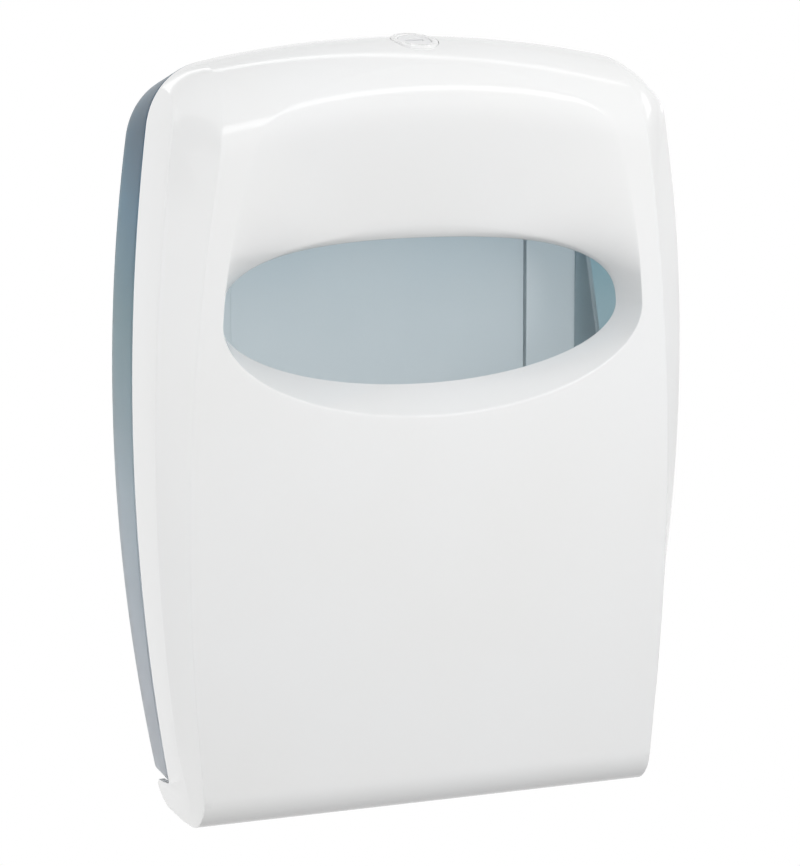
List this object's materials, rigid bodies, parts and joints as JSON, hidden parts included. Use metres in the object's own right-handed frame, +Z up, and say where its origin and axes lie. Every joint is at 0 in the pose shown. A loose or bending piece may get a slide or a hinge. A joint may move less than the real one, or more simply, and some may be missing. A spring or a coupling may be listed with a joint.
{
  "type": "toilet seat cover dispenser",
  "caption": "Wall dispenser for folded paper seat covers: barrel-sided front cover with a scooped oval opening, hinged at its foot on a drafted back tray and held by a key lock in the top.",
  "frame": {"origin": "centre of the wall-screw pattern, on the plane of the wall", "axes": "+Z up the wall, +Y into the wall, +X to the right of someone who faces the dispenser"},
  "size_m": [0.2234, 0.0602, 0.3014],
  "materials": {
    "white_plastic": "glossy moulded white",
    "smoke_plastic": "smoky grey-blue, slightly see-through",
    "lock_plastic": "glossy moulded white",
    "plug_plastic": "satin light grey",
    "steel": "zinc plated"
  },
  "bodies": {
    "tray": {"back_tray": "smoke_plastic"},
    "cover": {"front_cover": "white_plastic", "hinge_pin_left": "steel", "hinge_pin_right": "steel", "lock_body": "lock_plastic", "lock_washer": "steel", "lock_nut": "steel"},
    "lock": {"lock_plug": "plug_plastic", "lock_cam": "steel", "cam_washer": "steel", "cam_screw": "steel"}
  },
  "joints": [
    {"name": "cover_hinge", "type": "hinge", "parent": "tray", "child": "cover", "pos_m": [0, -0.0112, -0.1412], "axis": [1, 0, 0], "range_deg": [0, 90]},
    {"name": "lock_turn", "type": "hinge", "parent": "cover", "child": "lock", "pos_m": [0, -0.02848, 0.118], "axis": [0, -0.2419, 0.9703], "range_deg": [0, 90]}
  ]
}
